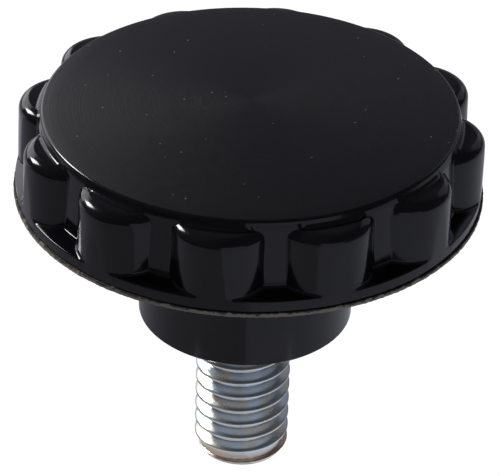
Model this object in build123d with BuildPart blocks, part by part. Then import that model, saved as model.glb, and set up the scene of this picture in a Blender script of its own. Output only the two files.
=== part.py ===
from build123d import *

import os
from math import cos, degrees, radians, sqrt, tan

# Lobed clamping knob, moulded in black phenolic over the head of a steel bolt.
# Millimetres. The origin is the centre of the hub's underside, where the knob seats on the work.
# +Z runs up the knob's axis, and the threaded stud hangs below the origin.

# Bolt: the stud has a 5/16-18 thread, and is plain here at the thread's major diameter.
# The neck in the hub has the thinner blank that such a thread is rolled on.
stud_diameter = 7.94
stud_length = 14.0
stud_end_chamfer = 0.45
stud_end_chamfer_height = 0.7
bolt_neck_diameter = 7.1
bolt_neck_length = 4.0
bolt_head_across_flats = 12.7
bolt_head_height = 5.2

# Hub: the collar below the flange, with a wall of plastic round the corners of the bolt's head.
# A shallow recess round the stud lets the last turn of its thread clear the work.
hub_wall = 1.5
hub_height = 11.8
hub_edge_chamfer = 0.15
hub_root_fillet = 0.4
stud_recess_clearance = 0.35
stud_recess_depth = 0.6

# Drum: the round body that carries the lobes, with a slightly crowned top face and a drafted wall.
# Its diameter is the one at the upper corner, and its height runs from the flange's underside.
drum_diameter = 33.5
drum_height = 7.25
drum_draft_angle = 5.0
drum_rim_fillet = 0.3
drum_root_fillet = 0.25
crown_rise = 0.6

# Flange: the thin plate that closes the foot of the lobes. Its upper face falls towards its edge,
# where its thickness is measured. A narrow lip, where the mould parts, runs round its lower edge.
flange_projection = 2.1
flange_thickness = 1.3
flange_slope_angle = 11.0
flange_lip_projection = 0.2
flange_lip_height = 0.35

# Lobes: round ribs with a moulding draft, rounded tops and small fillets at their roots.
# Their gap is measured along the foot of the drum's wall. They reach a little past the flange's edge
# and are trimmed flush with it.
lobe_count = 12
lobe_gap = 1.8
lobe_overreach = 0.1
lobe_drop = 0.55
lobe_draft_angle = 1.5
lobe_top_fillet = 0.7
lobe_root_fillet = 0.25

# Slopes as rise over run, or run over rise for a draft
drum_draft_share = tan(radians(drum_draft_angle))
flange_slope_share = tan(radians(flange_slope_angle))
lobe_draft_share = tan(radians(lobe_draft_angle))

# Levels above the hub's underside
flange_level = hub_height
flange_edge_level = flange_level + flange_thickness
flange_lip_level = flange_level + flange_lip_height
drum_top_level = flange_level + drum_height
crown_level = drum_top_level + crown_rise
lobe_top_level = drum_top_level - lobe_drop
lobe_height = lobe_top_level - flange_edge_level

# Radii from the axis
bolt_head_corner_radius = bolt_head_across_flats / sqrt(3)
hub_radius = bolt_head_corner_radius + hub_wall
stud_recess_radius = stud_diameter / 2 + stud_recess_clearance
drum_radius = drum_diameter / 2
flange_radius = drum_radius + flange_projection
flange_lip_radius = flange_radius + flange_lip_projection

# Foot of the drum: the place where its drafted wall meets the flange's falling upper face.
# The wall falls from the drum's corner, and the flange's face from a peak on the axis.
flange_peak_level = flange_edge_level + flange_radius * flange_slope_share
drum_axis_radius = drum_radius + (drum_top_level - flange_peak_level) * drum_draft_share
drum_foot_radius = drum_axis_radius / (1 - flange_slope_share * drum_draft_share)
drum_foot_level = flange_peak_level - drum_foot_radius * flange_slope_share

# A lobe's circle at its foot passes through its nose and through the edge of the gap
lobe_pitch_angle = 360 / lobe_count
lobe_edge_angle = lobe_pitch_angle / 2 - degrees(lobe_gap / 2 / drum_foot_radius)
lobe_reach = flange_radius + lobe_overreach
lobe_edge_depth = lobe_reach - drum_foot_radius * cos(radians(lobe_edge_angle))
lobe_circle_radius = (lobe_reach**2 - drum_foot_radius**2) / lobe_edge_depth / 2
lobe_radius = lobe_reach - lobe_circle_radius
lobe_top_radius = lobe_radius - lobe_height * lobe_draft_share

# Direction of the knob's axis and of each lobe's own axis
up = Axis.Z.direction


def corner_at(section, x, z):
    """The corner of a half section that lies nearest to a point of it."""
    return section.vertices().sort_by_distance((x, z)).first


# Steel bolt: the stud below the hub, then the neck and the hexagon head that the moulding grips
with BuildPart() as threaded_stud:
    with BuildSketch(Plane.XY.offset(-stud_length)):
        Circle(stud_diameter / 2)
    extrude(amount=stud_length)
    stud_end = threaded_stud.faces().sort_by(Axis.Z).first
    chamfer(stud_end.edges(), length=stud_end_chamfer, length2=stud_end_chamfer_height)
    with BuildSketch(Plane.XY):
        Circle(bolt_neck_diameter / 2)
    extrude(amount=bolt_neck_length)
    with BuildSketch(Plane.XY.offset(bolt_neck_length)):
        RegularPolygon(bolt_head_corner_radius, side_count=6)
    extrude(amount=bolt_head_height)

# Moulded head: the lobes first, each turned about its own axis, then the turned body through them,
# then the bolt's place in it. A gap between lobes, not a lobe, lies on the X axis, where the turned
# body has its seam.
with BuildPart() as knob_head:
    for place in PolarLocations(lobe_circle_radius, lobe_count, start_angle=lobe_pitch_angle / 2):
        inwards = -place.position
        with BuildSketch(Plane(place.position, inwards, inwards.cross(up))) as lobe_section:
            with BuildLine():
                Polyline(
                    (0, flange_edge_level),
                    (lobe_radius, flange_edge_level),
                    (lobe_top_radius, lobe_top_level),
                    (0, lobe_top_level),
                    close=True,
                )
            make_face()
            fillet(corner_at(lobe_section, lobe_top_radius, lobe_top_level), lobe_top_fillet)
        revolve(axis=Axis(place.position, up))
    with BuildSketch(Plane.XY.offset(flange_edge_level)):
        Circle(flange_radius)
    extrude(amount=lobe_height, mode=Mode.INTERSECT)

    with BuildSketch(Plane.XZ) as half_section:
        with BuildLine():
            Polyline(
                (0, crown_level),
                (0, 0),
                (hub_radius, 0),
                (hub_radius, flange_level),
                (flange_lip_radius, flange_level),
                (flange_lip_radius, flange_lip_level),
                (flange_radius, flange_lip_level),
                (flange_radius, flange_edge_level),
                (drum_foot_radius, drum_foot_level),
                (drum_radius, drum_top_level),
            )
            TangentArc((0, crown_level), (drum_radius, drum_top_level), tangent=(1, 0))
        make_face()
        chamfer(corner_at(half_section, hub_radius, 0), hub_edge_chamfer)
        fillet(corner_at(half_section, hub_radius, flange_level), hub_root_fillet)
        fillet(corner_at(half_section, drum_foot_radius, drum_foot_level), drum_root_fillet)
        fillet(corner_at(half_section, drum_radius, drum_top_level), drum_rim_fillet)
    revolve(axis=Axis.Z)
    lobe_roots = knob_head.edges(Select.NEW)
    fillet(lobe_roots, lobe_root_fillet)

    add(threaded_stud.part, mode=Mode.SUBTRACT)
    with BuildSketch(Plane.XY):
        Circle(stud_recess_radius)
    extrude(amount=stud_recess_depth, mode=Mode.SUBTRACT)

os.makedirs("parts", exist_ok=True)
threaded_stud.part.label = "threaded_stud"
export_step(threaded_stud.part, "parts/threaded_stud.step")
knob_head.part.label = "knob_head"
export_step(knob_head.part, "parts/knob_head.step")
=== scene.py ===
from math import acos, atan2, cos, hypot, pi, radians, sin, sqrt, tan

import bmesh
import bpy
from bpy.props import FloatProperty, FloatVectorProperty, IntProperty, PointerProperty
from bpy.types import Operator, Panel, PropertyGroup
from mathutils import Matrix, Vector


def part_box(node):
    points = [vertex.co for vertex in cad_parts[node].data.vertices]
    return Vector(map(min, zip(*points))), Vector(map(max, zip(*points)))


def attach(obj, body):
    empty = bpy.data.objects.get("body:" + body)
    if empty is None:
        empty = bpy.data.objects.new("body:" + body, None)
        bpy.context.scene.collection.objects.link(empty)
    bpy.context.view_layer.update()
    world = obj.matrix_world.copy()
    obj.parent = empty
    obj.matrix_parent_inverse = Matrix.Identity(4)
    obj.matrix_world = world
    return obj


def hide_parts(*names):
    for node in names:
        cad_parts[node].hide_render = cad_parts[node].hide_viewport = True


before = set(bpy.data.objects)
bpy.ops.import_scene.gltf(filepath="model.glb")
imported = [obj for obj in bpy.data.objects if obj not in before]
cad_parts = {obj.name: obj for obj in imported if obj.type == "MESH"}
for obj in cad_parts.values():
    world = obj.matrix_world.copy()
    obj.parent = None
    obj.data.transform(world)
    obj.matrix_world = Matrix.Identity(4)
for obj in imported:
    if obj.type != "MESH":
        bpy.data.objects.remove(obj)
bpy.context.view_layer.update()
_, head_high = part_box("knob_head")
stud_low, stud_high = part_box("threaded_stud")

bl_info = {
    "name": "Lobed Clamping Knob",
    "version": (1, 0, 0),
    "blender": (4, 5, 0),
    "location": "3D View > Sidebar > Knob",
    "description": "Builds a moulded lobed knob, its rolled stud and a plain studio round it",
    "category": "Add Mesh",
}

# Steps along the curves of the moulded head
NOSE_STEPS = 18
ROOT_STEPS = 6
GAP_STEPS = 4
ROUND_STEPS = 6
TOP_ROUND_STEPS = 10
SIDE_STEPS = 6
CROWN_STEPS = 14
FLANGE_STEPS = 3
LOBES_PER_SECTOR = 2

# Rounds after which a place that depends on its own height has settled
SETTLE_STEPS = 8

# Flash line: steps along it and round its section, and the share of its unevenness that a point can reach
FLASH_STEPS = 900
FLASH_SECTION_STEPS = 20
TEAR_SHARE = 0.35

# Painted shade along the flash line's torn upper edge, where it meets the flange's band: the height that its
# tears add to a point's own, and the levels above the flash line's top between which the sum turns dark
SHADE_LINE_TEAR = 0.0008
SHADE_LINE_START = 0.00026
SHADE_LINE_END = 0.00033

# Stud: steps round it and along a turn of its thread, the share of its rows that closes its flat end,
# its plain tip as a share of the end's chamfer, and the heights between which the tip's worn colour ends
STUD_COLUMNS = 96
ROWS_PER_TURN = 36
END_SHARE = 0.03
PLAIN_SHARE = 1.3
WEAR_START = 0.0007
WEAR_END = 0.0014

# Settings of the stud that its thread's node tree takes
THREAD_SIZES = ("major_radius", "minor_radius", "pitch", "crest_share", "root_share", "thread_turn",
                "end_radius", "end_chamfer", "neck_radius")

# Surface mottle: shares of its slow and fine noise, and the ranges of noise that it spreads out
PATCH_WEIGHT = 0.7
GRAIN_WEIGHT = 0.3
MOTTLE_RANGE = (0.35, 0.65)
PATCH_RANGE = (0.4, 0.65)

# Range of the turned rings' noise that is rubbed, and the extra roughness of dust specks and plate pits
RING_RANGE = (0.45, 0.8)
SPECK_ROUGHNESS = 0.5
PIT_ROUGHNESS = 0.25

# Vertices nearer than this are one vertex
WELD_DISTANCE = 1e-6
SHARP_ANGLE = radians(38)

# Camera: width of the photograph in pixels, width of the sensor in millimetres and nearest view in metres
PHOTO_WIDTH = 500
SENSOR_WIDTH = 36.0
CLIP_START = 0.01

FLOOR_SEGMENTS = 96
FLOOR_RADIUS = 1.5

# Tints of the lights and of the room's even light
WHITE = (1.0, 1.0, 1.0)
WINDOW = (0.96, 0.95, 1.0)
ROOM = (0.86, 0.87, 1.0)
COOL = (0.86, 0.88, 1.0)
VIOLET = (0.93, 0.89, 1.0)
PALE = (0.95, 0.98, 1.0)

# Soft lights: name, place and aim (each to the right, away from the camera and up), size, watts and tint
SOFTBOXES = (
    ("back_window", (-0.36, 0.49, 0.24), (0, 0, 0.01), (0.45, 0.40), 1.1, WINDOW),
    ("left_window", (-0.385, 0.205, 0.303), (0, 0, 0.01), (0.15, 0.16), 1.8, WHITE),
    ("back_wall", (0.0, 0.60, 0.16), (0, 0, 0.16), (0.90, 0.28), 0.13, ROOM),
    ("right_wall", (0.40, 0.45, 0.30), (0, 0, 0.01), (0.40, 0.40), 0.15, ROOM),
)

# Wall in front of the knob, as bright as a floor panel of full share
FRONT_PLACE = (0.221, -0.42, 0.045)
FRONT_AIM = (0.221, 0, 0.045)
FRONT_SIZE = (0.44, 0.12)

# Luminous panels on the floor: name, reach to the right, reach away from the camera, height above the
# floor, share of the panels' brightness and tint. Where panels overlap, their light adds up.
FLOOR_PANELS = (
    ("left_panel", (-0.13, 0.001), (-0.25, 0.10), 0.00004, 0.55, VIOLET),
    ("right_panel", (0.001, 0.35), (-0.40, 0.036), 0.00004, 1.0, COOL),
    ("back_panel", (-0.35, 0.35), (0.036, 0.40), 0.00008, 0.8, PALE),
    ("stud_panel", (-0.020, 0.020), (-0.021, 0.0), 0.00012, 1.2, PALE),
)


def setting(kind, **options):
    """A kind of setting that a user may change, still to be given its name, description and default."""
    return lambda name, description, default: kind(name=name, description=description, default=default,
                                                   **options)


# Lengths in metres, linear colours, plain numbers and angles in radians
length = setting(FloatProperty, min=0.0, precision=5, subtype="DISTANCE", unit="LENGTH")
colour = setting(FloatVectorProperty, min=0.0, max=1.0, size=3, subtype="COLOR")
amount = setting(FloatProperty, precision=4)
angle = setting(FloatProperty, subtype="ANGLE", unit="ROTATION")


class KnobHeadSizes(PropertyGroup):
    flange_radius: length("Flange radius", "Outer radius of the thin flange's band", 0.01885)
    flange_level: length("Flange level", "Height of the flange's underside", 0.0118)
    flange_thickness: length("Flange thickness", "Thickness of the flange at its edge", 0.0013)
    flange_slope: angle("Flange slope", "Fall of the flange's upper face towards its edge", radians(11.0))
    flange_edge_round: length("Flange edge", "Rounding of the flange's upper edge", 0.0001)
    flash_radius: length("Flash radius", "Outer radius of the flash line along the flange", head_high.x)
    flash_height: length("Flash height", "Height of the flash line", 0.00035)
    flash_depth: length("Flash depth", "How deep the flash line sits in the flange's band", 0.00006)
    flash_tear: length("Flash tear", "Unevenness of the torn flash line", 0.00016)
    crown_level: length("Crown level", "Height of the crown's middle", head_high.z)
    drum_radius: length("Drum radius", "Radius of the round body at its upper corner", 0.01675)
    drum_draft: angle("Drum draft", "Draft of the drum's wall from its corner to its foot", radians(5.0))
    collar_lean: angle("Collar lean", "Lean of the drum's wall above the lobes", radians(16.0))
    drum_top_level: length("Drum top", "Height of the drum's upper corner", 0.01905)
    rim_round: length("Rim", "Rounding of the drum's upper corner", 0.0003)
    turned_radius: length("Turned radius", "Radius of the face that is turned after moulding", 0.0166)
    lobe_count: IntProperty(name="Lobes", description="Number of lobes", default=12, min=4)
    lobe_gap: length("Lobe gap", "Gap between neighbouring lobes at the foot of the drum's wall", 0.0018)
    lobe_overreach: length("Lobe overreach", "How far the untrimmed lobes pass the flange's edge", 0.0001)
    lobe_drop: length("Lobe drop", "How far the lobes end below the drum's corner", 0.00072)
    lobe_draft: angle("Lobe draft", "Moulding draft of the lobes", radians(1.5))
    lobe_top_round: length("Lobe top", "Rounding of the lobes' tops", 0.0009)
    root_round: length("Root", "Fillet where a lobe meets the drum", 0.00028)
    foot_round: length("Foot", "Fillet where lobes and drum meet the flange", 0.0002)
    hub_radius: length("Hub radius", "Radius of the hub", 0.00883)
    hub_root_round: length("Hub root", "Fillet where the hub meets the flange", 0.0004)
    hub_edge_chamfer: length("Hub edge", "Chamfer of the hub's lower edge", 0.00015)
    recess_radius: length("Recess radius", "Radius of the recess round the stud", 0.00432)
    recess_depth: length("Recess depth", "Depth of the recess round the stud", 0.0006)


class StudSizes(PropertyGroup):
    major_radius: length("Major radius", "Radius at the thread's crests", 0.00397)
    minor_radius: length("Minor radius", "Radius at the thread's roots", 0.00318)
    pitch: length("Pitch", "Rise of the thread in one turn", 0.001411)
    crest_share: amount("Crest share", "Flat share of the pitch at a crest", 0.10)
    root_share: amount("Root share", "Flat share of the pitch at a root", 0.12)
    thread_turn: amount("Thread turn", "Turn of the thread's start, as a share of a full turn", 0.58)
    end_radius: length("End radius", "Radius of the stud's flat end", 0.00352)
    end_chamfer: length("End chamfer", "Height of the stud's end chamfer", 0.0007)
    neck_radius: length("Neck radius", "Radius of the neck in the hub", 0.00355)
    neck_length: length("Neck length", "Length of the neck in the hub", 0.004)


class KnobFinishes(PropertyGroup):
    phenolic: colour("Phenolic", "Colour of the moulded phenolic", (0.0055, 0.0053, 0.0075))
    phenolic_worn: colour("Rubbed phenolic", "Colour where the phenolic is rubbed", (0.0090, 0.0086, 0.0110))
    turned: colour("Turned face", "Colour of the turned top face", (0.0042, 0.0040, 0.0062))
    flash: colour("Filed edge", "Colour of the filed flash line", (0.30, 0.275, 0.235))
    # Also the colour of the painted shade along the flash line's upper edge, where it meets the flange's band
    flash_pits_and_shade: colour("Filed edge pits", "Colour of the pits in the filed flash line", (0.045, 0.038, 0.032))
    zinc: colour("Zinc", "Colour of the zinc plate", (0.56, 0.62, 0.68))
    zinc_stain: colour("Zinc stain", "Colour of the faint stains on the zinc plate", (0.60, 0.58, 0.52))
    zinc_tip: colour("Stud tip", "Colour of the worn plate at the stud's end", (0.46, 0.37, 0.31))
    dust: colour("Dust", "Colour of the dust specks", (0.45, 0.43, 0.40))


class StudioSettings(PropertyGroup):
    floor_colour: colour("Floor", "Colour of the floor", (0.08, 0.08, 0.09))
    floor_lift: amount("Floor lift", "Extra light of the floor as the camera sees it", 1.0)
    surround: amount("Surround", "Strength of the room's even light", 0.08)
    panel_light: amount("Panel light", "Brightness of the floor panels and the front wall", 0.45)
    view_azimuth: angle("View azimuth", "Where the camera stands round the knob", radians(-7.5))
    view_elevation: angle("View elevation", "How high the camera stands", radians(31.978))
    view_roll: angle("View roll", "Roll of the camera", radians(1.727))
    view_distance: length("View distance", "Camera's distance from the flange's middle", 0.24335)
    aim_right: amount("Aim right", "Camera's turn to the right of the flange's middle, in radians", 0.00103)
    aim_up: amount("Aim up", "Camera's turn up from the flange's middle, in radians", -0.01773)
    focal_pixels: amount("Focal length", "Focal length in pixels of the photograph's frame", 3000.0)


# Mesh helpers

def new_piece(name, mesh):
    """A piece at the origin that holds the mesh."""
    piece = bpy.data.objects.new(name, mesh)
    bpy.context.scene.collection.objects.link(piece)
    return piece


def mesh_of_rows(name, rows, flip=False):
    """A mesh of quads between rows of points that all have the same number of points."""
    columns = len(rows[0])
    points = [point for row in rows for point in row]
    faces = []
    for i in range(len(rows) - 1):
        for j in range(columns - 1):
            a = i * columns + j
            quad = (a, a + columns, a + columns + 1, a + 1)
            faces.append(quad[::-1] if flip else quad)
    mesh = bpy.data.meshes.new(name)
    mesh.from_pydata(points, [], faces)
    return mesh


def settled_mesh(piece):
    """The plain mesh that a piece's modifiers give, closed and with its faces turned outwards."""
    graph = bpy.context.evaluated_depsgraph_get()
    mesh = bpy.data.meshes.new_from_object(piece.evaluated_get(graph), depsgraph=graph)
    mesh.name = piece.name
    while mesh.materials and mesh.materials[0] is None:
        mesh.materials.pop(index=0)
    shape = bmesh.new()
    shape.from_mesh(mesh)
    bmesh.ops.dissolve_degenerate(shape, edges=shape.edges, dist=WELD_DISTANCE)
    bmesh.ops.recalc_face_normals(shape, faces=shape.faces)
    shape.to_mesh(mesh)
    shape.free()
    return mesh


def grow(piece, tree, values):
    """Shapes a piece by a node tree, and takes the result as its own mesh, smooth over its rounded edges."""
    modifier = piece.modifiers.new(tree.name, "NODES")
    modifier.node_group = tree
    sockets = {item.name: item.identifier for item in tree.interface.items_tree if item.in_out == "INPUT"}
    for name, value in values.items():
        modifier[sockets[name]] = value
    mesh = settled_mesh(piece)
    piece.modifiers.clear()
    old = piece.data
    piece.data = mesh
    bpy.data.meshes.remove(old)
    mesh.shade_smooth()
    mesh.set_sharp_from_angle(angle=SHARP_ANGLE)
    if not mesh.polygons:
        raise RuntimeError(f"{piece.name} came out empty")


# Node helpers

def add_node(tree, kind, inputs=None, **settings):
    """A node with its settings and its input values; an input that is a socket is linked."""
    made = tree.nodes.new(kind)
    for key, value in settings.items():
        setattr(made, key, value)
    for key, value in (inputs or {}).items():
        if isinstance(value, bpy.types.NodeSocket):
            tree.links.new(value, made.inputs[key])
        else:
            made.inputs[key].default_value = value
    return made


def sum_node(tree, operation, *values, clamp=False):
    """The result of one Math node."""
    made = add_node(tree, "ShaderNodeMath", dict(enumerate(values)), operation=operation, use_clamp=clamp)
    return made.outputs[0]


def ramp(tree, value, low, high, to_low=0.0, to_high=1.0, smooth=True):
    """A value taken from one range to another, held at the range's ends."""
    kind = "SMOOTHSTEP" if smooth else "LINEAR"
    made = add_node(tree, "ShaderNodeMapRange", {0: value, 1: low, 2: high, 3: to_low, 4: to_high},
                    interpolation_type=kind, clamp=True)
    return made.outputs[0]


def mix_colours(tree, share, first, second):
    """Two colours mixed by a share that changes over the surface."""
    made = add_node(tree, "ShaderNodeMix", {0: share, 6: first, 7: second}, data_type="RGBA")
    return made.outputs[2]


def new_tree(name, kind, inputs, outputs):
    """A node tree with its inputs and outputs, listed by kind of socket, and its first and last nodes."""
    tree = bpy.data.node_groups.new(name, kind + "NodeTree")
    for side, sockets in (("INPUT", inputs), ("OUTPUT", outputs)):
        for socket, labels in sockets.items():
            for label in labels:
                tree.interface.new_socket(label, in_out=side, socket_type="NodeSocket" + socket)
    return tree, tree.nodes.new("NodeGroupInput"), tree.nodes.new("NodeGroupOutput")


def shape_tree(name, inputs):
    """A node tree that takes a shape and settings, and gives a shape."""
    shape = {"Geometry": ["Geometry"]}
    return new_tree(name, "Geometry", shape | inputs, shape)


def close_shape(tree, end, shape, finish):
    """Makes a tree's shape real, gives it its finish and sends it out of the tree."""
    real = add_node(tree, "GeometryNodeRealizeInstances", {"Geometry": shape.outputs[0]})
    made = add_node(tree, "GeometryNodeSetMaterial", {"Geometry": real.outputs[0], "Material": finish})
    tree.links.new(made.outputs[0], end.inputs["Geometry"])


def title(key):
    """A setting's name as the name of a socket."""
    return key.replace("_", " ").title()


def opaque(rgb):
    """A colour with full alpha."""
    return (*rgb, 1.0)


# Shape of the moulded head

class HeadForm:
    """Works out the head's outline from its sizes, in metres. Angles run from a lobe's middle."""

    def __init__(self, sizes):
        self.s = sizes
        self.half_pitch = pi / sizes.lobe_count
        self.flange_top = sizes.flange_level + sizes.flange_thickness
        self.lobe_top = sizes.drum_top_level - sizes.lobe_drop
        self.place_rim()
        self.place_lobes()

    def place_rim(self):
        """The crown's arc, and the centre of the rounding between it and the drum's leaning wall."""
        s = self.s
        rise = s.crown_level - s.drum_top_level
        self.crown_curve = (s.drum_radius ** 2 + rise ** 2) / (2 * rise)
        self.crown_centre = s.crown_level - self.crown_curve
        self.rim_level = s.drum_top_level
        for _ in range(SETTLE_STEPS):
            self.rim_in = self.drum_at(self.rim_level) - s.rim_round / cos(s.collar_lean)
            above = sqrt((self.crown_curve - s.rim_round) ** 2 - self.rim_in ** 2)
            self.rim_level = self.crown_centre + above
        self.rim_turn = atan2(self.rim_level - self.crown_centre, self.rim_in)

    def place_lobes(self):
        """The lobes' radius and circle, from their reach and from the gap at the foot of the drum's wall.
        Also the level where their rounded tops begin, and the radius of the flat inside them."""
        s = self.s
        foot = s.drum_radius
        for _ in range(SETTLE_STEPS):
            foot = self.drum_at(self.floor_level(foot))
        reach = s.flange_radius + s.lobe_overreach
        turn = self.half_pitch - s.lobe_gap / (2 * foot)
        self.lobe_circle = (reach ** 2 - foot ** 2) / (2 * (reach - foot * cos(turn)))
        self.lobe_radius = reach - self.lobe_circle
        self.bend = self.lobe_top - s.lobe_top_round
        self.flat = self.side_radius(self.bend) - s.lobe_top_round / cos(s.lobe_draft)

    def drum_at(self, height):
        """Radius of the drum's wall at a height. The collar above the lobes leans more than the rest."""
        s = self.s
        if height > self.lobe_top:
            return s.drum_radius + (s.drum_top_level - height) * tan(s.collar_lean)
        collar = s.drum_radius + s.lobe_drop * tan(s.collar_lean)
        foot = s.drum_radius + (s.drum_top_level - self.flange_top) * tan(s.drum_draft)
        return collar + (foot - collar) * (self.lobe_top - height) / (self.lobe_top - self.flange_top)

    def floor_level(self, radius):
        """Height of the flange's sloping top, with its rounded edge, at a radius."""
        s = self.s
        edge = s.flange_edge_round
        middle = s.flange_radius - edge
        if radius < middle + edge * sin(s.flange_slope):
            return self.flange_top + (s.flange_radius - radius) * tan(s.flange_slope)
        centre = self.flange_top + edge * tan(s.flange_slope) - edge / cos(s.flange_slope)
        return centre + sqrt(max(edge ** 2 - (radius - middle) ** 2, 0.0))

    def side_radius(self, height):
        """Radius of a lobe's drafted side at a height."""
        return self.lobe_radius - (height - self.flange_top) * tan(self.s.lobe_draft)

    def plan_at(self, height, grown=0.0):
        """The outline of the lobes' sides and the drum's wall at a height."""
        return self.outline(self.side_radius(height), self.drum_at(height), grown)

    def outline(self, lobe_radius, drum_radius, grown=0.0):
        """Half a lobe's plan, from its nose to the middle of the gap, as pairs of radius and angle.
        The lobe's arc runs into the root's arc and that into the drum's arc.
        The nose ends flush with the flange."""
        lobe = lobe_radius + grown
        drum = drum_radius + grown
        root = self.s.root_round - grown
        out = drum + root
        centre = self.lobe_circle
        turn = acos((centre ** 2 + out ** 2 - (lobe + root) ** 2) / (2 * centre * out))
        root_x = out * cos(turn)
        root_y = out * sin(turn)
        lean = atan2(root_y, root_x - centre)
        spots = []
        for i in range(NOSE_STEPS + 1):
            a = lean * i / NOSE_STEPS
            spots.append((centre + lobe * cos(a), lobe * sin(a)))
        for i in range(1, ROOT_STEPS + 1):
            a = pi + lean + (turn - lean) * i / ROOT_STEPS
            spots.append((root_x + root * cos(a), root_y + root * sin(a)))
        for i in range(1, GAP_STEPS + 1):
            a = turn + (self.half_pitch - turn) * i / GAP_STEPS
            spots.append((drum * cos(a), drum * sin(a)))
        return [(min(hypot(x, y), self.s.flange_radius), atan2(y, x)) for x, y in spots]

    def crown_rows(self, plan):
        """The crowned top, from its middle out to the rim, and the rounded rim."""
        s = self.s
        edge = self.rim_in + s.rim_round * cos(self.rim_turn)
        for i in range(CROWN_STEPS + 1):
            radius = edge * i / CROWN_STEPS
            height = self.crown_centre + sqrt(self.crown_curve ** 2 - radius ** 2)
            yield [(radius, a, height) for _, a in plan]
        for i in range(1, ROUND_STEPS + 1):
            turn = self.rim_turn + (s.collar_lean - self.rim_turn) * i / ROUND_STEPS
            radius = self.rim_in + s.rim_round * cos(turn)
            height = self.rim_level + s.rim_round * sin(turn)
            yield [(radius, a, height) for _, a in plan]

    def lobe_top_rows(self, plan):
        """The drum's wall down to the lobes' flat tops, with a fillet that dies out in the gaps."""
        drum = self.drum_at(self.lobe_top)
        lean = tan(self.s.collar_lean)
        legs = [max(min(self.s.root_round, r - drum), 0.0) for r, _ in plan]
        for i in range(ROOT_STEPS + 1):
            turn = pi / 2 * i / ROOT_STEPS
            out = 1 - cos(turn)
            up = 1 - sin(turn)
            yield [(drum + leg * (out - up * lean), a, self.lobe_top + leg * up)
                   for leg, (_, a) in zip(legs, plan)]
        yield [(r, a, self.lobe_top) for r, a in plan]

    def foot_spot(self, column, turn):
        """A point of the foot's fillet, which turns from the side's foot on to the flange's top."""
        out = self.s.foot_round * (1 - cos(turn))
        up = self.s.foot_round * (1 - sin(turn))
        height = self.flange_top
        for _ in range(SETTLE_STEPS):
            radius, a = self.plan_at(height, out)[column]
            height = self.floor_level(radius) + up
        return radius, a, height

    def lobe_side_rows(self):
        """The lobes' rounded tops and drafted sides, and the fillet at their foot."""
        s = self.s
        for i in range(1, TOP_ROUND_STEPS + 1):
            turn = pi / 2 + (s.lobe_draft - pi / 2) * i / TOP_ROUND_STEPS
            height = self.bend + s.lobe_top_round * sin(turn)
            plan = self.outline(self.flat + s.lobe_top_round * cos(turn), self.drum_at(height))
            yield [(r, a, height) for r, a in plan]
        columns = range(NOSE_STEPS + ROOT_STEPS + GAP_STEPS + 1)
        start = self.bend + s.lobe_top_round * sin(s.lobe_draft)
        lows = [self.foot_spot(j, 0.0)[2] for j in columns]
        for i in range(1, SIDE_STEPS + 1):
            heights = [start + (low - start) * i / SIDE_STEPS for low in lows]
            yield [(*self.plan_at(height)[j], height) for j, height in enumerate(heights)]
        for i in range(1, ROUND_STEPS + 1):
            yield [self.foot_spot(j, pi / 2 * i / ROUND_STEPS) for j in columns]

    def flange_rows(self, foot):
        """The flange's sloping top, its rounded edge, its band and its underside."""
        s = self.s
        middle = s.flange_radius - s.flange_edge_round
        flat = middle + s.flange_edge_round * sin(s.flange_slope)
        for i in range(1, FLANGE_STEPS + 1):
            spots = [(max(r, r + (flat - r) * i / FLANGE_STEPS), a) for r, a, _ in foot]
            yield [(r, a, self.floor_level(r)) for r, a in spots]
        for i in range(1, ROUND_STEPS + 1):
            turn = s.flange_slope + (pi / 2 - s.flange_slope) * i / ROUND_STEPS
            edge = middle + s.flange_edge_round * sin(turn)
            spots = [(max(r, edge), a) for r, a, _ in foot]
            yield [(r, a, self.floor_level(r)) for r, a in spots]
        under = s.hub_radius + s.hub_root_round
        for radius, height in ((s.flange_radius, s.flange_level + s.flash_height),
                               (s.flange_radius, s.flange_level),
                               ((s.flange_radius + under) / 2, s.flange_level),
                               (under, s.flange_level)):
            yield [(radius, a, height) for _, a, _ in foot]

    def hub_rows(self, foot, stud):
        """The hub, the recess in its underside and the pocket that holds the bolt's neck and head."""
        s = self.s
        for i in range(1, ROUND_STEPS + 1):
            turn = pi / 2 * i / ROUND_STEPS
            radius = s.hub_radius + s.hub_root_round * (1 - sin(turn))
            height = s.flange_level - s.hub_root_round * (1 - cos(turn))
            yield [(radius, a, height) for _, a, _ in foot]
        for radius, height in ((s.hub_radius, s.hub_edge_chamfer), (s.hub_radius - s.hub_edge_chamfer, 0.0),
                               (s.recess_radius, 0.0), (s.recess_radius, s.recess_depth),
                               (stud.neck_radius, s.recess_depth), (stud.neck_radius, stud.neck_length)):
            yield [(radius, a, height) for _, a, _ in foot]
        pocket = [hexagon_radius(a + self.half_pitch) for _, a, _ in foot]
        for share, height in ((1.0, stud.neck_length), (1.0, stud_high.z), (0.0, stud_high.z)):
            yield [(radius * share, a, height) for radius, (_, a, _) in zip(pocket, foot)]


def hexagon_radius(turn):
    """Radius of the bolt's hexagon head at an angle from one of its corners."""
    side = pi / 3
    return stud_high.y / cos(turn % side - side / 2)


def head_sector(sizes, stud):
    """Two lobes' share of the head, from the crown's middle to the pocket's ceiling, as rows of points."""
    form = HeadForm(sizes)
    top_plan = form.outline(form.flat, form.drum_at(form.lobe_top))
    rows = list(form.crown_rows(top_plan))
    rows += form.lobe_top_rows(top_plan)
    rows += form.lobe_side_rows()
    foot = rows[-1]
    rows += form.flange_rows(foot)
    halves = rows + list(form.hub_rows(foot, stud))
    sector = []
    for half in halves:
        row = []
        for lobe in range(LOBES_PER_SECTOR):
            middle = form.half_pitch * (2 * lobe + 1)
            near = [(r, middle - a, z) for r, a, z in half[::-1]]
            far = [(r, middle + a, z) for r, a, z in half[1:]]
            row += (near if lobe == 0 else near[1:]) + far
        sector.append([(r * cos(a), r * sin(a), z) for r, a, z in row])
    return sector


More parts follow.
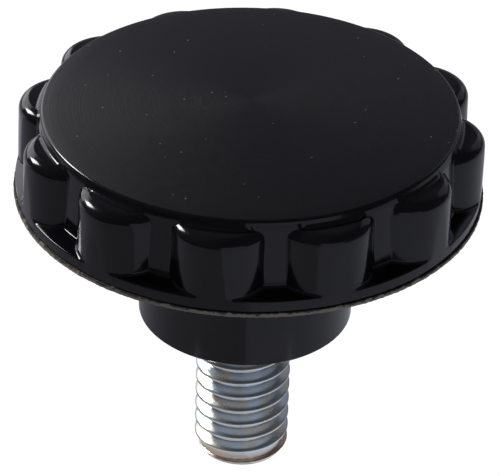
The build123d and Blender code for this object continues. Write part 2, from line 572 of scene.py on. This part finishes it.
def ring_tree(name):
    """A node tree that repeats a sector round the Z axis, welds the copies and gives them their finishes."""
    tree, start, end = shape_tree(name, {"Int": ["Copies"], "Float": ["Weld Distance"],
                                         "Material": ["Body Finish", "Turned Finish"]})
    spots = add_node(tree, "GeometryNodePoints", {"Count": start.outputs["Copies"]})
    index = tree.nodes.new("GeometryNodeInputIndex")
    step = sum_node(tree, "DIVIDE", 2 * pi, start.outputs["Copies"])
    turn = add_node(tree, "FunctionNodeAxisAngleToRotation",
                    {"Axis": (0, 0, 1), "Angle": sum_node(tree, "MULTIPLY", index.outputs[0], step)})
    copies = add_node(tree, "GeometryNodeInstanceOnPoints",
                      {"Points": spots.outputs[0], "Instance": start.outputs["Geometry"],
                       "Rotation": turn.outputs[0]})
    real = add_node(tree, "GeometryNodeRealizeInstances", {"Geometry": copies.outputs[0]})
    weld = add_node(tree, "GeometryNodeMergeByDistance",
                    {"Geometry": real.outputs[0], "Distance": start.outputs["Weld Distance"]})
    body = add_node(tree, "GeometryNodeSetMaterial",
                    {"Geometry": weld.outputs[0], "Material": start.outputs["Body Finish"]})
    turned_mark = add_node(tree, "GeometryNodeInputNamedAttribute", {"Name": "turned"}, data_type="BOOLEAN")
    top = add_node(tree, "GeometryNodeSetMaterial",
                   {"Geometry": body.outputs[0], "Selection": turned_mark.outputs[0],
                    "Material": start.outputs["Turned Finish"]})
    tree.links.new(top.outputs[0], end.inputs["Geometry"])
    return tree


class KNOB_OT_head(Operator):
    """Build the moulded head with its lobes, flange and hub"""
    bl_idname = "knob.head"
    bl_label = "Moulded Head"

    def execute(self, context):
        sizes = context.scene.knob_head
        mesh = mesh_of_rows("head_sector", head_sector(sizes, context.scene.knob_stud))
        mark = mesh.attributes.new("turned", "BOOLEAN", "FACE")
        for face in mesh.polygons:
            middle = face.center
            on_top = middle.z > sizes.drum_top_level - sizes.rim_round
            mark.data[face.index].value = on_top and hypot(middle.x, middle.y) < sizes.turned_radius
        piece = new_piece("moulded_head", mesh)
        grow(piece, ring_tree("Lobed Ring"),
             {"Copies": sizes.lobe_count // LOBES_PER_SECTOR, "Weld Distance": WELD_DISTANCE,
              "Body Finish": gloss_phenolic(context.scene.knob_finishes),
              "Turned Finish": turned_phenolic(context.scene.knob_finishes)})
        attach(piece, "root")
        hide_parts("knob_head")
        return {"FINISHED"}


# Shape of the filed flash line

def flash_tree(name):
    """A node tree that sweeps a rough band along the flange's lower edge."""
    tree, start, end = shape_tree(name, {"Float": ["Radius", "Level", "Width", "Height", "Roughness"],
                                         "Material": ["Finish"]})
    path = add_node(tree, "GeometryNodeCurvePrimitiveCircle",
                    {"Resolution": FLASH_STEPS, "Radius": start.outputs["Radius"]})
    lift = add_node(tree, "ShaderNodeCombineXYZ", {"Z": start.outputs["Level"]})
    placed = add_node(tree, "GeometryNodeSetPosition",
                      {"Geometry": path.outputs[0], "Offset": lift.outputs[0]})
    section = add_node(tree, "GeometryNodeCurvePrimitiveQuadrilateral",
                       {"Width": start.outputs["Width"], "Height": start.outputs["Height"]})
    fine = add_node(tree, "GeometryNodeResampleCurve",
                    {"Curve": section.outputs[0], "Count": FLASH_SECTION_STEPS})
    band = add_node(tree, "GeometryNodeCurveToMesh",
                    {"Curve": placed.outputs[0], "Profile Curve": fine.outputs[0], "Fill Caps": False})
    here = tree.nodes.new("GeometryNodeInputPosition")
    chips = add_node(tree, "ShaderNodeTexNoise",
                     {"Vector": here.outputs[0], "Scale": 2600.0, "Detail": 3.0, "Roughness": 0.7})
    centred = add_node(tree, "ShaderNodeVectorMath", {0: chips.outputs["Color"], 1: (0.5, 0.5, 0.5)},
                       operation="SUBTRACT")
    scaled = add_node(tree, "ShaderNodeVectorMath", {0: centred.outputs[0]}, operation="SCALE")
    tree.links.new(start.outputs["Roughness"], scaled.inputs["Scale"])
    rough = add_node(tree, "GeometryNodeSetPosition",
                     {"Geometry": band.outputs[0], "Offset": scaled.outputs[0]})
    close_shape(tree, end, rough, start.outputs["Finish"])
    return tree


class KNOB_OT_flash(Operator):
    """Build the filed flash line along the flange's lower edge"""
    bl_idname = "knob.flash"
    bl_label = "Filed Flash Line"

    def execute(self, context):
        sizes = context.scene.knob_head
        inner = sizes.flange_radius - sizes.flash_depth
        outer = sizes.flash_radius - sizes.flash_tear * TEAR_SHARE
        edge_level = sizes.flange_level + sizes.flash_height
        piece = new_piece("flash_line", bpy.data.meshes.new("flash_line"))
        grow(piece, flash_tree("Flash Line"),
             {"Radius": (inner + outer) / 2, "Level": sizes.flange_level + sizes.flash_height / 2,
              "Width": outer - inner, "Height": sizes.flash_height, "Roughness": sizes.flash_tear,
              "Finish": filed_flash(context.scene.knob_finishes, edge_level)})
        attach(piece, "root")
        return {"FINISHED"}


# Shape of the rolled stud

def thread_tree(name):
    """A node tree that bends a grid into a thread with a chamfered end, and joins it to the bolt's neck."""
    numbers = [title(key) for key in THREAD_SIZES]
    numbers += ["End Level", "Run-out Level", "Top Level", "Weld Distance"]
    tree, start, end = shape_tree(name, {"Float": numbers, "Int": ["Columns", "Rows"],
                                         "Material": ["Finish"]})
    given = start.outputs

    def work(operation, *values, clamp=False):
        return sum_node(tree, operation, *values, clamp=clamp)

    grid = add_node(tree, "GeometryNodeMeshGrid",
                    {"Size X": 1.0, "Size Y": 1.0, "Vertices X": work("ADD", given["Columns"], 1),
                     "Vertices Y": given["Rows"]})
    here = tree.nodes.new("GeometryNodeInputPosition")
    spot = add_node(tree, "ShaderNodeSeparateXYZ", {0: here.outputs[0]})
    around = work("ADD", spot.outputs["X"], 0.5)
    along = work("ADD", spot.outputs["Y"], 0.5)
    turn = work("MULTIPLY", around, 2 * pi)

    # The first rows close the flat end, and the others climb the stud
    spread = work("DIVIDE", along, END_SHARE, clamp=True)
    climb = ramp(tree, along, END_SHARE, 1.0, smooth=False)
    span = work("SUBTRACT", given["Top Level"], given["End Level"])
    rise = work("MULTIPLY", climb, span)
    level = work("ADD", rise, given["End Level"])

    # The thread's height goes from crest to root and back over one pitch. Its groove ends above a plain tip.
    turns = work("SUBTRACT", work("DIVIDE", rise, given["Pitch"]), around)
    phase = work("FRACT", work("ADD", turns, given["Thread Turn"]))
    away = work("ABSOLUTE", work("SUBTRACT", work("MULTIPLY", phase, 2.0), 1.0))
    crest = work("SUBTRACT", 1.0, given["Crest Share"])
    straight = ramp(tree, away, given["Root Share"], crest, smooth=False)
    rounded = ramp(tree, away, given["Root Share"], crest, smooth=True)
    flank = work("MULTIPLY", work("ADD", straight, rounded), 0.5)
    depth = work("SUBTRACT", given["Major Radius"], given["Minor Radius"])
    full = work("ADD", work("MULTIPLY", flank, depth), given["Minor Radius"])
    plain = work("MULTIPLY", given["End Chamfer"], PLAIN_SHARE)
    deep = work("ADD", plain, given["Pitch"])
    filled = ramp(tree, rise, plain, deep, given["End Radius"], given["Minor Radius"])
    thread = work("MAXIMUM", full, filled)

    # The chamfer cuts the thread at its end, and the thread runs out into the neck at the top
    slope = work("DIVIDE", work("SUBTRACT", given["Major Radius"], given["End Radius"]), given["End Chamfer"])
    cone = work("ADD", work("MULTIPLY", rise, slope), given["End Radius"])
    cut = work("MINIMUM", thread, cone)
    run_out = ramp(tree, level, given["Run-out Level"], given["Top Level"])
    neck = add_node(tree, "ShaderNodeMix", {0: run_out, 2: cut, 3: given["Neck Radius"]}, data_type="FLOAT")
    radius = work("MULTIPLY", neck.outputs[0], spread)
    place = add_node(tree, "ShaderNodeCombineXYZ",
                     {"X": work("MULTIPLY", radius, work("COSINE", turn)),
                      "Y": work("MULTIPLY", radius, work("SINE", turn)), "Z": level})
    stud = add_node(tree, "GeometryNodeSetPosition",
                    {"Geometry": grid.outputs[0], "Position": place.outputs[0]})
    both = tree.nodes.new("GeometryNodeJoinGeometry")
    tree.links.new(stud.outputs[0], both.inputs[0])
    tree.links.new(given["Geometry"], both.inputs[0])
    weld = add_node(tree, "GeometryNodeMergeByDistance",
                    {"Geometry": both.outputs[0], "Distance": given["Weld Distance"]})
    close_shape(tree, end, weld, given["Finish"])
    return tree


class KNOB_OT_stud(Operator):
    """Build the bolt with its rolled thread, its neck and its hexagon head"""
    bl_idname = "knob.stud"
    bl_label = "Rolled Stud"

    def execute(self, context):
        sizes = context.scene.knob_stud
        top = context.scene.knob_head.recess_depth
        rows = []
        for shape, height in ((sizes.neck_radius, top), (sizes.neck_radius, sizes.neck_length),
                              (None, sizes.neck_length), (None, stud_high.z), (0.0, stud_high.z)):
            row = []
            for i in range(STUD_COLUMNS + 1):
                turn = 2 * pi * i / STUD_COLUMNS
                radius = hexagon_radius(turn) if shape is None else shape
                row.append((radius * cos(turn), radius * sin(turn), height))
            rows.append(row)
        piece = new_piece("rolled_stud", mesh_of_rows("bolt_head", rows, flip=True))
        turns = (top - stud_low.z) / sizes.pitch
        grow(piece, thread_tree("Rolled Thread"),
             {title(key): getattr(sizes, key) for key in THREAD_SIZES}
             | {"End Level": stud_low.z, "Run-out Level": 0.0, "Top Level": top,
                "Weld Distance": WELD_DISTANCE, "Columns": STUD_COLUMNS, "Rows": int(turns * ROWS_PER_TURN),
                "Finish": zinc_plate(context.scene.knob_finishes)})
        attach(piece, "root")
        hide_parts("threaded_stud")
        return {"FINISHED"}


# Shader effects that more than one finish uses

def mottle_group():
    """Slow and fine unevenness of a surface: a value between two limits and a height for bump."""
    name = "Surface Mottle"
    if name in bpy.data.node_groups:
        return bpy.data.node_groups[name]
    tree, start, end = new_tree(name, "Shader", {"Float": ["Patch Scale", "Grain Scale", "Low", "High"]},
                                {"Float": ["Value", "Patch", "Height"]})
    here = tree.nodes.new("ShaderNodeTexCoord")
    patch = add_node(tree, "ShaderNodeTexNoise",
                     {"Vector": here.outputs["Object"], "Scale": start.outputs["Patch Scale"], "Detail": 4.0,
                      "Roughness": 0.6})
    grain = add_node(tree, "ShaderNodeTexNoise",
                     {"Vector": here.outputs["Object"], "Scale": start.outputs["Grain Scale"], "Detail": 2.0})
    both = sum_node(tree, "ADD", sum_node(tree, "MULTIPLY", patch.outputs["Fac"], PATCH_WEIGHT),
                    sum_node(tree, "MULTIPLY", grain.outputs["Fac"], GRAIN_WEIGHT))
    value = ramp(tree, both, *MOTTLE_RANGE, start.outputs["Low"], start.outputs["High"])
    tree.links.new(value, end.inputs["Value"])
    tree.links.new(ramp(tree, patch.outputs["Fac"], *PATCH_RANGE), end.inputs["Patch"])
    tree.links.new(grain.outputs["Fac"], end.inputs["Height"])
    return tree


def speck_group():
    """Small scattered specks of dust or pits, as a mask."""
    name = "Scattered Specks"
    if name in bpy.data.node_groups:
        return bpy.data.node_groups[name]
    tree, start, end = new_tree(name, "Shader", {"Float": ["Scale", "Size", "Share"]}, {"Float": ["Mask"]})
    here = tree.nodes.new("ShaderNodeTexCoord")
    cells = add_node(tree, "ShaderNodeTexVoronoi",
                     {"Vector": here.outputs["Object"], "Scale": start.outputs["Scale"]})
    near = ramp(tree, cells.outputs["Distance"], 0.0, start.outputs["Size"], 1.0, 0.0)
    tint = add_node(tree, "ShaderNodeSeparateColor", {0: cells.outputs["Color"]})
    chosen = sum_node(tree, "LESS_THAN", tint.outputs[0], start.outputs["Share"])
    tree.links.new(sum_node(tree, "MULTIPLY", near, chosen), end.inputs["Mask"])
    return tree


def new_finish(name):
    """A material with an empty tree, its Principled shader and its output."""
    material = bpy.data.materials.new(name)
    material.use_nodes = True
    tree = material.node_tree
    tree.nodes.clear()
    shader = tree.nodes.new("ShaderNodeBsdfPrincipled")
    end = tree.nodes.new("ShaderNodeOutputMaterial")
    tree.links.new(shader.outputs[0], end.inputs["Surface"])
    return material, tree, shader


def place_group(tree, group, **values):
    """A node group placed in a material with its own values."""
    made = add_node(tree, "ShaderNodeGroup", node_tree=group)
    for key, value in values.items():
        made.inputs[title(key)].default_value = value
    return made


def object_spot(tree):
    """The object's own coordinates, whole and split."""
    here = tree.nodes.new("ShaderNodeTexCoord").outputs["Object"]
    return here, add_node(tree, "ShaderNodeSeparateXYZ", {0: here}).outputs


def rougher(tree, rough, mask, extra):
    """A roughness that grows where a mask is set."""
    return sum_node(tree, "ADD", rough, sum_node(tree, "MULTIPLY", mask, extra))


def coat(tree, shader, tint, rough, height, strength, depth):
    """Gives a shader its colour, its roughness and the bump of a height."""
    bump = add_node(tree, "ShaderNodeBump", {"Height": height, "Strength": strength, "Distance": depth})
    tree.links.new(tint, shader.inputs["Base Color"])
    tree.links.new(rough, shader.inputs["Roughness"])
    tree.links.new(bump.outputs[0], shader.inputs["Normal"])


def gloss_phenolic(finishes):
    """Moulded black phenolic: glossy, faintly uneven, rubbed a little paler in patches, with a few specks."""
    material, tree, shader = new_finish("gloss_phenolic")
    mottle = place_group(tree, mottle_group(), patch_scale=180.0, grain_scale=3500.0, low=0.10, high=0.17)
    specks = place_group(tree, speck_group(), scale=420.0, size=0.055, share=0.05)
    body = mix_colours(tree, mottle.outputs["Patch"], opaque(finishes.phenolic),
                       opaque(finishes.phenolic_worn))
    tint = mix_colours(tree, specks.outputs["Mask"], body, opaque(finishes.dust))
    rough = rougher(tree, mottle.outputs["Value"], specks.outputs["Mask"], SPECK_ROUGHNESS)
    coat(tree, shader, tint, rough, mottle.outputs["Height"], strength=0.03, depth=0.00002)
    shader.inputs["Specular IOR Level"].default_value = 0.42
    return material


def turned_phenolic(finishes):
    """The top face, turned after moulding: satin, with fine rings round the axis and some dust."""
    material, tree, shader = new_finish("turned_phenolic")
    mottle = place_group(tree, mottle_group(), patch_scale=1400.0, grain_scale=6500.0, low=0.34, high=0.39)
    specks = place_group(tree, speck_group(), scale=900.0, size=0.09, share=0.4)
    _, spot = object_spot(tree)
    flat = add_node(tree, "ShaderNodeCombineXYZ", {"X": spot["X"], "Y": spot["Y"]})
    out = add_node(tree, "ShaderNodeVectorMath", {0: flat.outputs[0]}, operation="LENGTH")
    rings = add_node(tree, "ShaderNodeTexNoise", {"W": out.outputs["Value"], "Scale": 9000.0, "Detail": 3.0},
                     noise_dimensions="1D")
    rubbed = ramp(tree, rings.outputs[0], *RING_RANGE)
    body = mix_colours(tree, rubbed, opaque(finishes.turned), opaque(finishes.phenolic))
    tint = mix_colours(tree, specks.outputs["Mask"], body, opaque(finishes.dust))
    coat(tree, shader, tint, mottle.outputs["Value"], rings.outputs[0], strength=0.25, depth=0.00003)
    tangent = add_node(tree, "ShaderNodeTangent", direction_type="RADIAL", axis="Z")
    tree.links.new(tangent.outputs[0], shader.inputs["Tangent"])
    shader.inputs["Anisotropic"].default_value = 0.24
    shader.inputs["Anisotropic Rotation"].default_value = 0.25
    shader.inputs["Specular IOR Level"].default_value = 0.5
    return material


def filed_flash(finishes, edge_level):
    """The filed flash line: rough and pale, with dark pits, and painted shade along its torn upper edge."""
    material, tree, shader = new_finish("filed_flash")
    mottle = place_group(tree, mottle_group(), patch_scale=900.0, grain_scale=6000.0, low=0.55, high=0.8)
    pits = place_group(tree, speck_group(), scale=2600.0, size=0.3, share=0.15)
    here, spot = object_spot(tree)
    tears = add_node(tree, "ShaderNodeTexNoise", {"Vector": here, "Scale": 1700.0, "Detail": 3.0})
    # Painted shade: a jagged strip along the flash line's upper edge, where it meets the flange's band, turns
    # dark
    torn = sum_node(tree, "MULTIPLY_ADD", tears.outputs["Fac"], SHADE_LINE_TEAR, spot["Z"])
    upper_shade = ramp(tree, torn, edge_level + SHADE_LINE_START, edge_level + SHADE_LINE_END)
    body = mix_colours(tree, pits.outputs["Mask"], opaque(finishes.flash), opaque(finishes.flash_pits_and_shade))
    tint = mix_colours(tree, upper_shade, body, opaque(finishes.flash_pits_and_shade))
    coat(tree, shader, tint, mottle.outputs["Value"], mottle.outputs["Height"], strength=0.4, depth=0.00003)
    return material


def zinc_plate(finishes):
    """Bright zinc plate: cool grey metal with faint warm stains, fine pits and a worn, brown tip."""
    material, tree, shader = new_finish("zinc_plate")
    mottle = place_group(tree, mottle_group(), patch_scale=420.0, grain_scale=5000.0, low=0.16, high=0.28)
    pits = place_group(tree, speck_group(), scale=1500.0, size=0.14, share=0.12)
    _, spot = object_spot(tree)
    tip = ramp(tree, spot["Z"], stud_low.z + WEAR_START, stud_low.z + WEAR_END, 1.0, 0.0)
    plate = mix_colours(tree, mottle.outputs["Patch"], opaque(finishes.zinc), opaque(finishes.zinc_stain))
    body = mix_colours(tree, tip, plate, opaque(finishes.zinc_tip))
    rough = rougher(tree, mottle.outputs["Value"], pits.outputs["Mask"], PIT_ROUGHNESS)
    coat(tree, shader, body, rough, mottle.outputs["Height"], strength=0.04, depth=0.00003)
    shader.inputs["Metallic"].default_value = 0.65
    return material


# Studio

def add_floor(studio):
    """A plain pale floor under the stud's end."""
    shape = bmesh.new()
    bmesh.ops.create_circle(shape, cap_ends=True, segments=FLOOR_SEGMENTS, radius=FLOOR_RADIUS)
    mesh = bpy.data.meshes.new("floor")
    shape.to_mesh(mesh)
    shape.free()
    mesh.transform(Matrix.Translation((0.0, 0.0, stud_low.z)))
    material = bpy.data.materials.new("floor")
    material.use_nodes = True
    tree = material.node_tree
    tree.nodes.clear()
    matt = add_node(tree, "ShaderNodeBsdfDiffuse", {"Color": opaque(studio.floor_colour)})
    seen = tree.nodes.new("ShaderNodeLightPath")
    lift = sum_node(tree, "MULTIPLY", seen.outputs["Is Camera Ray"], studio.floor_lift)
    glow = add_node(tree, "ShaderNodeEmission", {"Color": (1, 1, 1, 1), "Strength": lift})
    both = add_node(tree, "ShaderNodeAddShader", {0: matt.outputs[0], 1: glow.outputs[0]})
    end = tree.nodes.new("ShaderNodeOutputMaterial")
    tree.links.new(both.outputs[0], end.inputs["Surface"])
    mesh.materials.append(material)
    new_piece("floor", mesh)


def add_lamp(name, size, watts, tint):
    """A rectangular soft light that the camera itself doesn't see."""
    lamp = bpy.data.lights.new(name, "AREA")
    lamp.shape = "RECTANGLE"
    lamp.size, lamp.size_y = size
    lamp.energy = watts
    lamp.color = tint
    light = bpy.data.objects.new(name, lamp)
    light.visible_camera = False
    bpy.context.scene.collection.objects.link(light)
    return light


def panel_watts(brightness, size):
    """The power that gives a luminous panel its brightness."""
    return brightness * pi * size[0] * size[1]


def add_softbox(name, turn, place, aim, size, watts, tint):
    """A soft light at a place given from the camera's side: right, away and up."""
    light = add_lamp(name, size, watts, tint)
    light.location = turn @ Vector(place)
    towards = turn @ Vector(aim) - light.location
    light.rotation_euler = towards.to_track_quat("-Z", "Y").to_euler()


def add_panel(name, turn, across, away, lift, brightness, tint):
    """A luminous panel that lies just above the floor, given by its reach to the right and away."""
    size = (across[1] - across[0], away[1] - away[0])
    light = add_lamp(name, size, panel_watts(brightness, size), tint)
    middle = Vector((sum(across) / 2, sum(away) / 2, stud_low.z + lift))
    light.matrix_world = turn.to_4x4() @ Matrix.Translation(middle) @ Matrix.Rotation(pi, 4, "X")


def swing(first, second, by):
    """Two square directions, turned by an angle from the first towards the second."""
    return cos(by) * first + sin(by) * second, cos(by) * second - sin(by) * first


def add_camera(studio, target):
    """A camera at the photograph's place, turned a little off the flange's middle as the photograph is."""
    turn = Matrix.Rotation(studio.view_azimuth, 3, "Z")
    rise = studio.view_elevation
    ahead = Vector((0.0, cos(rise), -sin(rise)))
    right = Vector((1.0, 0.0, 0.0))
    up = right.cross(ahead)
    place = target - turn @ ahead * studio.view_distance
    ahead, right = swing(ahead, right, studio.aim_right)
    ahead, up = swing(ahead, up, studio.aim_up)
    right, up = swing(right, up, studio.view_roll)
    axes = Matrix((turn @ right, turn @ up, -(turn @ ahead))).transposed()
    data = bpy.data.cameras.new("camera")
    data.sensor_fit = "HORIZONTAL"
    data.sensor_width = SENSOR_WIDTH
    data.lens = SENSOR_WIDTH * studio.focal_pixels / PHOTO_WIDTH
    data.clip_start = CLIP_START
    camera = bpy.data.objects.new("camera", data)
    bpy.context.scene.collection.objects.link(camera)
    camera.matrix_world = Matrix.Translation(place) @ axes.to_4x4()
    bpy.context.scene.camera = camera


def set_surround(strength):
    """Even, slightly cool light from all round."""
    world = bpy.data.worlds.new("surround")
    world.use_nodes = True
    back = world.node_tree.nodes["Background"]
    back.inputs["Color"].default_value = opaque(ROOM)
    back.inputs["Strength"].default_value = strength
    bpy.context.scene.world = world


class KNOB_OT_studio(Operator):
    """Build the floor, the lights and the camera"""
    bl_idname = "knob.studio"
    bl_label = "Studio"

    def execute(self, context):
        studio = context.scene.knob_studio
        target = Vector((0.0, 0.0, context.scene.knob_head.flange_level))
        turn = Matrix.Rotation(studio.view_azimuth, 3, "Z")
        add_floor(studio)
        for name, place, aim, size, watts, tint in SOFTBOXES:
            add_softbox(name, turn, place, aim, size, watts, tint)
        add_softbox("front_wall", turn, FRONT_PLACE, FRONT_AIM, FRONT_SIZE,
                    panel_watts(studio.panel_light, FRONT_SIZE), COOL)
        for name, across, away, lift, share, tint in FLOOR_PANELS:
            add_panel(name, turn, across, away, lift, studio.panel_light * share, tint)
        add_camera(studio, target)
        set_surround(studio.surround)
        context.scene.view_settings.view_transform = "Standard"
        return {"FINISHED"}


class KNOB_PT_panel(Panel):
    """Lists the knob's pieces and sizes"""
    bl_idname = "KNOB_PT_panel"
    bl_label = "Lobed Clamping Knob"
    bl_space_type = "VIEW_3D"
    bl_region_type = "UI"
    bl_category = "Knob"

    def draw(self, context):
        for operator in OPERATORS:
            self.layout.operator(operator.bl_idname)
        for group in GROUPS:
            box = self.layout.box()
            settings = getattr(context.scene, group)
            for key in settings.__annotations__:
                box.prop(settings, key)


OPERATORS = (KNOB_OT_head, KNOB_OT_flash, KNOB_OT_stud, KNOB_OT_studio)
GROUPS = {"knob_head": KnobHeadSizes, "knob_stud": StudSizes, "knob_finishes": KnobFinishes,
          "knob_studio": StudioSettings}


def register():
    for group in GROUPS.values():
        bpy.utils.register_class(group)
    for key, group in GROUPS.items():
        setattr(bpy.types.Scene, key, PointerProperty(type=group))
    for operator in OPERATORS:
        bpy.utils.register_class(operator)
    bpy.utils.register_class(KNOB_PT_panel)


def unregister():
    bpy.utils.unregister_class(KNOB_PT_panel)
    for operator in reversed(OPERATORS):
        bpy.utils.unregister_class(operator)
    for key, group in GROUPS.items():
        delattr(bpy.types.Scene, key)
        bpy.utils.unregister_class(group)


def main():
    register()
    bpy.ops.knob.head()
    bpy.ops.knob.flash()
    bpy.ops.knob.stud()
    bpy.ops.knob.studio()


if __name__ == "__main__":
    main()
